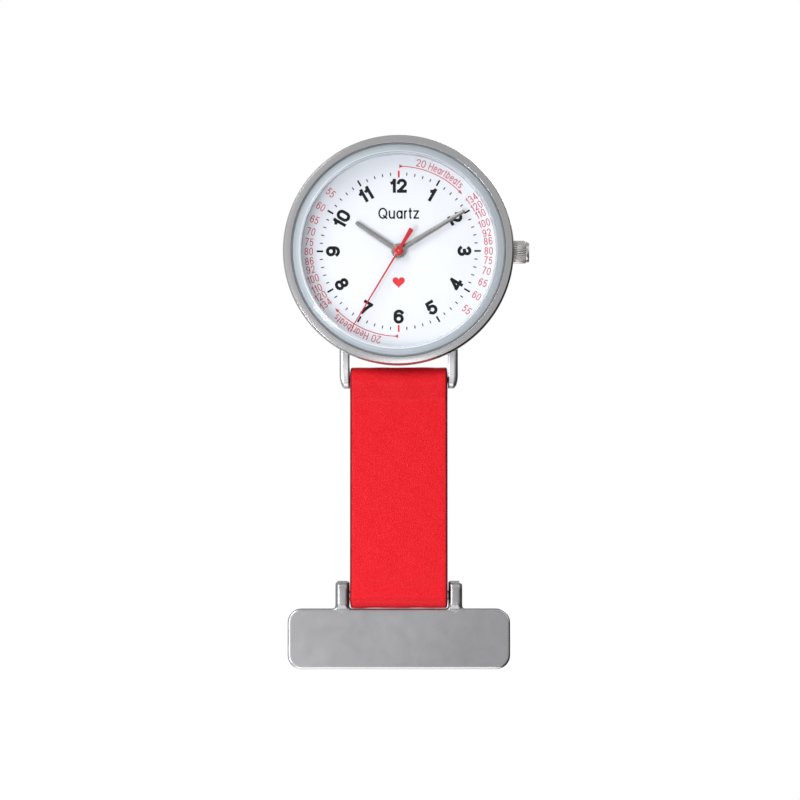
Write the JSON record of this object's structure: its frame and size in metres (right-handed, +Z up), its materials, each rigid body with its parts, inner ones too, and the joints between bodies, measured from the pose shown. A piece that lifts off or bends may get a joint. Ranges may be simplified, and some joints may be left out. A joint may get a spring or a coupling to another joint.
{
  "type": "fob watch",
  "caption": "Nurse's fob watch: a round quartz watch head hangs upside down on a folded leather strap from a brooch bar with a safety pin.",
  "frame": {"origin": "middle of the brooch pin's needle, on its axis, level with the middle of the bar's height", "axes": "+Z up as the watch hangs when worn, -Y out of the dial and of the bar's front, +Y towards the wearer, X along the bar and the needle, with the crown at -X"},
  "size_m": [0.0405, 0.009, 0.0877],
  "materials": {
    "bar_steel": "satin",
    "spring_steel": "satin",
    "needle_steel": "polished",
    "case_steel": "polished",
    "bezel_steel": "satin",
    "case_back_steel": "satin",
    "crown_steel": "polished",
    "battery_steel": "satin",
    "rehaut_metal": "satin",
    "brass": "satin",
    "coil_copper": "satin",
    "crystal_glass": "polished",
    "dial_enamel": "matte",
    "hand_grey": "satin",
    "hand_red": "gloss",
    "red_leather": "satin",
    "black_rubber": "matte",
    "holder_plastic": "matte",
    "plate_plastic": "matte",
    "board_green": "gloss"
  },
  "bodies": {
    "brooch": {"brooch_bar": "bar_steel", "brooch_rod": "spring_steel", "pin_base": "spring_steel", "pin_rivet": "spring_steel"},
    "pin": {"pin_needle": "needle_steel"},
    "catch_lock": {"catch_sleeve": "brass"},
    "strap": {"strap": "red_leather"},
    "head": {"case_middle": "case_steel", "bezel": "bezel_steel", "crystal": "crystal_glass", "crystal_gasket": "black_rubber", "case_back": "case_back_steel", "case_back_gasket": "black_rubber", "rehaut_ring": "rehaut_metal", "dial": "dial_enamel", "dial_washer": "brass", "movement_holder": "holder_plastic", "main_plate": "plate_plastic", "train_bridge": "spring_steel", "bridge_screw_1": "spring_steel", "bridge_screw_2": "spring_steel", "bridge_screw_3": "spring_steel", "stator": "spring_steel", "coil": "coil_copper", "circuit_board": "board_green", "quartz_oscillator": "spring_steel", "battery": "battery_steel", "battery_clip": "spring_steel", "crown_tube": "spring_steel", "spring_bar": "spring_steel"},
    "crown_slide": {"crown_gasket": "black_rubber"},
    "crown": {"crown": "crown_steel", "setting_stem": "spring_steel", "clutch_wheel": "spring_steel"},
    "setting_lever": {"setting_lever": "spring_steel"},
    "minutes": {"centre_wheel": "brass", "cannon_pinion": "spring_steel", "minute_hand": "hand_grey"},
    "seconds": {"fourth_wheel": "brass", "second_hand": "hand_red"},
    "hours": {"hour_wheel": "brass", "hour_hand": "hand_grey"},
    "third_wheel": {"third_wheel": "brass"},
    "fifth_wheel": {"fifth_wheel": "brass"},
    "rotor": {"rotor": "spring_steel"},
    "minute_wheel": {"minute_wheel": "brass"}
  },
  "joints": [
    {"name": "strap_swing", "type": "hinge", "parent": "brooch", "child": "strap", "pos_m": [0, -0.0034, -0.00715], "axis": [-1, 0, 0], "range_deg": [-30, 95]},
    {"name": "head_swing", "type": "hinge", "parent": "strap", "child": "head", "pos_m": [0, -0.0034, -0.0425], "axis": [-1, 0, 0], "range_deg": [-100, 100]},
    {"name": "pin_open", "type": "hinge", "parent": "brooch", "child": "pin", "pos_m": [-0.011, 0, 0], "axis": [0, 0, 1], "range_deg": [0, 80]},
    {"name": "catch_turn", "type": "hinge", "parent": "brooch", "child": "catch_lock", "pos_m": [0.0106, 0, 0], "axis": [1, 0, 0], "range_deg": [0, 70]},
    {"name": "crown_pull", "type": "slide", "parent": "head", "child": "crown_slide", "axis": [-1, 0, 0], "range_m": [0, 0.0007]},
    {"name": "crown_turn", "type": "hinge", "parent": "crown_slide", "child": "crown", "pos_m": [-0.02, -0.0026, -0.06373], "axis": [-1, 0, 0], "continuous": true},
    {"name": "setting_lever_swing", "type": "hinge", "parent": "head", "child": "setting_lever", "pos_m": [-0.00695, -0.0026, -0.06633], "axis": [0, -1, 0], "range_deg": [0, 17.3]},
    {"name": "minute_turn", "type": "hinge", "parent": "head", "child": "minutes", "pos_m": [0, -0.0029, -0.06373], "axis": [0, 1, 0], "continuous": true},
    {"name": "second_turn", "type": "hinge", "parent": "head", "child": "seconds", "pos_m": [0, -0.0021, -0.06373], "axis": [0, 1, 0], "continuous": true},
    {"name": "hour_turn", "type": "hinge", "parent": "head", "child": "hours", "pos_m": [0, -0.00395, -0.06373], "axis": [0, 1, 0], "continuous": true},
    {"name": "third_wheel_turn", "type": "hinge", "parent": "head", "child": "third_wheel", "pos_m": [-0.00093, -0.0024, -0.06721], "axis": [0, 1, 0], "continuous": true},
    {"name": "fifth_wheel_turn", "type": "hinge", "parent": "head", "child": "fifth_wheel", "pos_m": [0.00311, -0.0026, -0.06456], "axis": [0, 1, 0], "continuous": true},
    {"name": "rotor_turn", "type": "hinge", "parent": "head", "child": "rotor", "pos_m": [0.00537, -0.0029, -0.06374], "axis": [0, 1, 0], "continuous": true},
    {"name": "minute_wheel_turn", "type": "hinge", "parent": "head", "child": "minute_wheel", "pos_m": [-0.00275, -0.0037, -0.0618], "axis": [0, 1, 0], "continuous": true}
  ],
  "couplings": [
    {"joint": "setting_lever_swing", "follows": "crown_pull", "rad_per_m": 430.82},
    {"joint": "second_turn", "follows": "minute_turn", "ratio": 60},
    {"joint": "hour_turn", "follows": "minute_turn", "ratio": 0.083333},
    {"joint": "third_wheel_turn", "follows": "minute_turn", "ratio": -8},
    {"joint": "fifth_wheel_turn", "follows": "minute_turn", "ratio": -360},
    {"joint": "rotor_turn", "follows": "minute_turn", "ratio": 1800},
    {"joint": "minute_wheel_turn", "follows": "minute_turn", "ratio": -0.33333}
  ]
}
